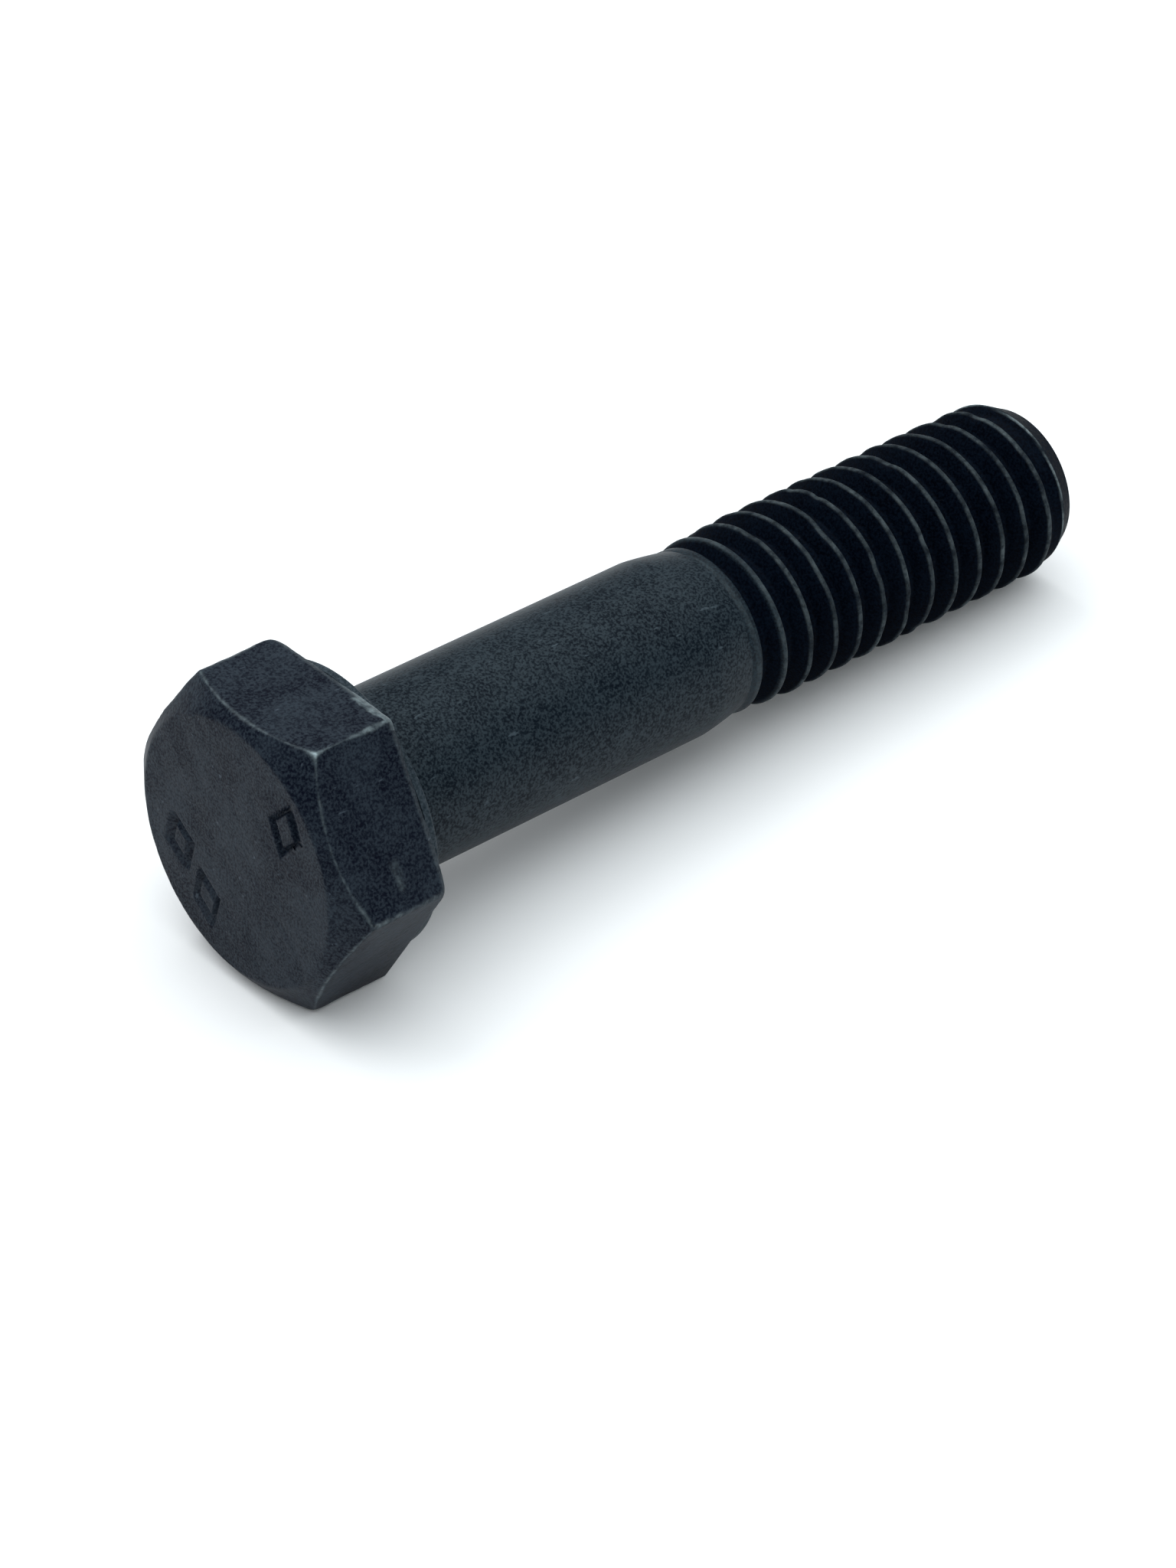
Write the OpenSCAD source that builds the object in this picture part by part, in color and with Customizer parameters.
// Hex bolt, partly threaded, 5/16-18 UNC x 1-1/2 in.
// The bolt lies along X: head at -X, tip at +X, two of the hexagon's flats facing up and down.
// The origin is the centre of the bearing face, the ring under the head that presses on the work.
// The bolt is one forging. Each module below is one region of it, and neighbours meet face to face.
// Millimetres throughout.

/* [Head] */
// Width of the hexagon across two opposite flats
across_flats = 12.6; // [12.4:0.05:12.7]
// Height of the head, from the bearing face to its top, washer face included
head_height = 5.35; // [4.9:0.05:5.6]
// Thickness of the round washer face under the hexagon
washer_face_h = 0.4; // [0.35:0.05:0.65]
// Diameter of the washer face
washer_face_d = 12.4; // [11.4:0.1:12.4]
// Diameter of the flat circle that the top chamfer leaves
head_top_d = 11.6; // [11:0.1:12]
// Depth of the top chamfer at the hexagon's corners
corner_chamfer_h = 1.1; // [0.6:0.05:1.4]

/* [Shank] */
// Diameter of the plain shank, and of the thread over its crests
shank_d = 7.92; // [7.8:0.01:7.94]
// Length of the bolt under the head
length = 38.1; // [34:0.1:60]
// Radius of the fillet where the shank meets the bearing face
fillet_r = 0.4; // [0.2:0.05:0.6]
// Length of the slightly conical neck between the shank and the thread
neck_h = 1.95; // [1:0.05:3]

/* [Thread] */
// Distance from one thread crest to the next
pitch = 1.411; // [1.25:0.001:1.5]
// Number of turns of thread
turns = 13; // [8:1:16]
// Where the crest line meets the thread's first end, in degrees from +Y towards +Z
thread_clock = 90; // [0:7.5:352.5]

/* [Point] */
// Diameter of the end face at the tip
tip_d = 6.6; // [6.2:0.1:7]
// Length of the chamfer cone at the tip
tip_chamfer_h = 1.25; // [1:0.05:1.6]
// Length of the tip that the thread doesn't reach
point_h = 0.8; // [0.4:0.05:0.9]

/* [Hidden] */

OXIDE_TOP = [0.24, 0.27, 0.30];
OXIDE_BRIGHT = [0.30, 0.33, 0.36];
OXIDE_SHANK = [0.21, 0.23, 0.25];
OXIDE_NECK = [0.26, 0.28, 0.29];
OXIDE_DARK = [0.11, 0.12, 0.14];

// Smoothness of the round surfaces, and small edge breaks
ROUND_FN = 96;
EDGE_BREAK = 0.12;
FILLET_STEP = 15;

shank_r = shank_d / 2;
across_corners = across_flats / cos(30);
corner_r = across_corners / 2;
washer_face_r = washer_face_d / 2;
head_top_r = head_top_d / 2;

// The neck tapers towards the thread's pitch diameter, and rolling raises the crests back to full size.
flank_angle = 30;
thread_depth = 5 / 16 * pitch / tan(flank_angle);
root_r = shank_r - thread_depth;
neck_r = shank_r - 0.37 * thread_depth;

thread_end = length - point_h;
thread_start = thread_end - turns * pitch;
shank_end = thread_start - neck_h;

tip_r = tip_d / 2;
tip_slope = (shank_r - tip_r) / tip_chamfer_h;
point_r = tip_r + point_h * tip_slope;

// Thread profile along one pitch: [share of the pitch, height from the root 0 to the crest 1]
PROFILE = [[-1 / 16, 1], [1 / 16, 1], [3 / 8, 0], [5 / 8, 0]];
ROWS = len(PROFILE);
// Columns round the thread, and rows along each column, with a turn to spare at each end
COLUMNS = 48;
COLUMN_ROWS = ROWS * (turns + 3);
// A row closer than this to an end plane joins that end's ring
SNAP = pitch / 20;
// The thread's first end stays plain over the first length, and then the groove deepens over the second. The
// crest rises over the third along a curve of this power. Next to the point, the groove fades over the last.
GROOVE_WAIT = 0.3 * pitch;
GROOVE_IN = 0.3 * pitch;
CREST_IN = 2.3 * pitch;
CREST_POWER = 0.7;
GROOVE_OUT = 1.1 * pitch;

// Lays a solid that was drawn along +Z along +X instead
module along_x() {
    rotate([0, 90, 0]) children();
}

// A solid of revolution about X; its outline is a list of [radius, x]
module turned(outline) {
    along_x() rotate_extrude($fn = ROUND_FN) polygon(outline);
}

function mix(a, b, t) = a + (b - a) * t;
function clamped(t) = min(1, max(0, t));
function smooth(t) = clamped(t) * clamped(t) * (3 - 2 * clamped(t));

// The hexagon, with its corners cut by a cone at the top
module hex_head() {
    top_x = -head_height;
    seat_x = -washer_face_h;
    chamfer_slope = corner_chamfer_h / (corner_r - head_top_r);
    blank_r = corner_r + 1;
    color(OXIDE_TOP) intersection() {
        translate([top_x, 0, 0]) along_x() rotate(30)
            cylinder(d = across_corners, h = seat_x - top_x, $fn = 6);
        turned([
            [0, top_x],
            [head_top_r, top_x],
            [blank_r, top_x + (blank_r - head_top_r) * chamfer_slope],
            [blank_r, seat_x],
            [0, seat_x]
        ]);
    }
}

// The flat ring that bears on the work, round the root of the shank
module washer_face() {
    inner_r = shank_r + fillet_r;
    color(OXIDE_BRIGHT) turned([
        [inner_r, -washer_face_h],
        [washer_face_r, -washer_face_h],
        [washer_face_r, -EDGE_BREAK],
        [washer_face_r - EDGE_BREAK, 0],
        [inner_r, 0]
    ]);
}

// The plain full-diameter shank, from the hexagon to the neck, with its fillet
module shank() {
    fillet = [for (a = [0 : FILLET_STEP : 90])
        [shank_r + fillet_r * (1 - sin(a)), fillet_r * (1 - cos(a))]];
    color(OXIDE_SHANK) turned(concat(
        [[0, -washer_face_h], [shank_r + fillet_r, -washer_face_h]],
        fillet,
        [[shank_r, shank_end], [0, shank_end]]
    ));
}

// The neck, where the shank narrows towards the diameter that the thread is rolled on
module neck() {
    color(OXIDE_NECK) turned([
        [0, shank_end],
        [shank_r, shank_end],
        [neck_r, thread_start],
        [0, thread_start]
    ]);
}

// Row k of column j: rows run along the thread, columns run round it, and a full turn climbs one pitch
function row_x(j, k) = thread_start
    + pitch * (floor(k / ROWS) - 1 + PROFILE[k % ROWS][0] + j / COLUMNS - thread_clock / 360);

// The thread's radius at height h from root to crest. It grows out of the neck, and the tip's cone trims it.
function tip_cone_r(x) = tip_r + (length - x) * tip_slope;
function groove_r(x) = mix(point_r,
    mix(neck_r, root_r, smooth((x - thread_start - GROOVE_WAIT) / GROOVE_IN)),
    smooth((thread_end - x) / GROOVE_OUT));
function crest_r(x) = mix(neck_r, shank_r, pow(clamped((x - thread_start) / CREST_IN), CREST_POWER));
function thread_r(x, h) = min(tip_cone_r(x), mix(groove_r(x), crest_r(x), h));

function ring_point(x, r, j) = [x, r * cos(360 * j / COLUMNS), r * sin(360 * j / COLUMNS)];

// Each column's own points follow the two end rings in the list of points
function point_index(j, k) =
    row_x(j, k) < thread_start + SNAP ? j
    : row_x(j, k) > thread_end - SNAP ? COLUMNS + j
    : 2 * COLUMNS + j * COLUMN_ROWS + k;

// A four-cornered patch as triangles, without those that an end ring has closed up
function patch(a, b, c, d) = [for (t = [[a, b, c], [a, c, d]])
    if (t[0] != t[1] && t[1] != t[2] && t[2] != t[0]) t];

// The right-hand thread, one closed solid with a helical surface between two flat ends
module thread() {
    points = concat(
        [for (j = [0 : COLUMNS - 1]) ring_point(thread_start, neck_r, j)],
        [for (j = [0 : COLUMNS - 1]) ring_point(thread_end, point_r, j)],
        [for (j = [0 : COLUMNS - 1], k = [0 : COLUMN_ROWS - 1])
            ring_point(row_x(j, k), thread_r(row_x(j, k), PROFILE[k % ROWS][1]), j)]
    );
    start_cap = [[for (j = [0 : COLUMNS - 1]) j]];
    end_cap = [[for (j = [COLUMNS - 1 : -1 : 0]) COLUMNS + j]];
    // From the last column to the first, the rows step up by one turn
    sides = [for (j = [0 : COLUMNS - 1], k = [0 : COLUMN_ROWS - 2])
        let (last = j == COLUMNS - 1, next = last ? 0 : j + 1, up = last ? ROWS : 0)
        each patch(
            point_index(j, k), point_index(j, k + 1),
            point_index(next, k + 1 + up), point_index(next, k + up)
        )];
    faces = concat(start_cap, end_cap, sides);
    color(OXIDE_DARK) polyhedron(points = points, faces = faces, convexity = 10);
}

// The plain chamfered end that leads the thread into a hole
module point() {
    color(OXIDE_NECK) turned([
        [0, thread_end],
        [point_r, thread_end],
        [tip_r + EDGE_BREAK * tip_slope, length - EDGE_BREAK],
        [tip_r - EDGE_BREAK, length],
        [0, length]
    ]);
}

hex_head();
washer_face();
shank();
neck();
thread();
point();
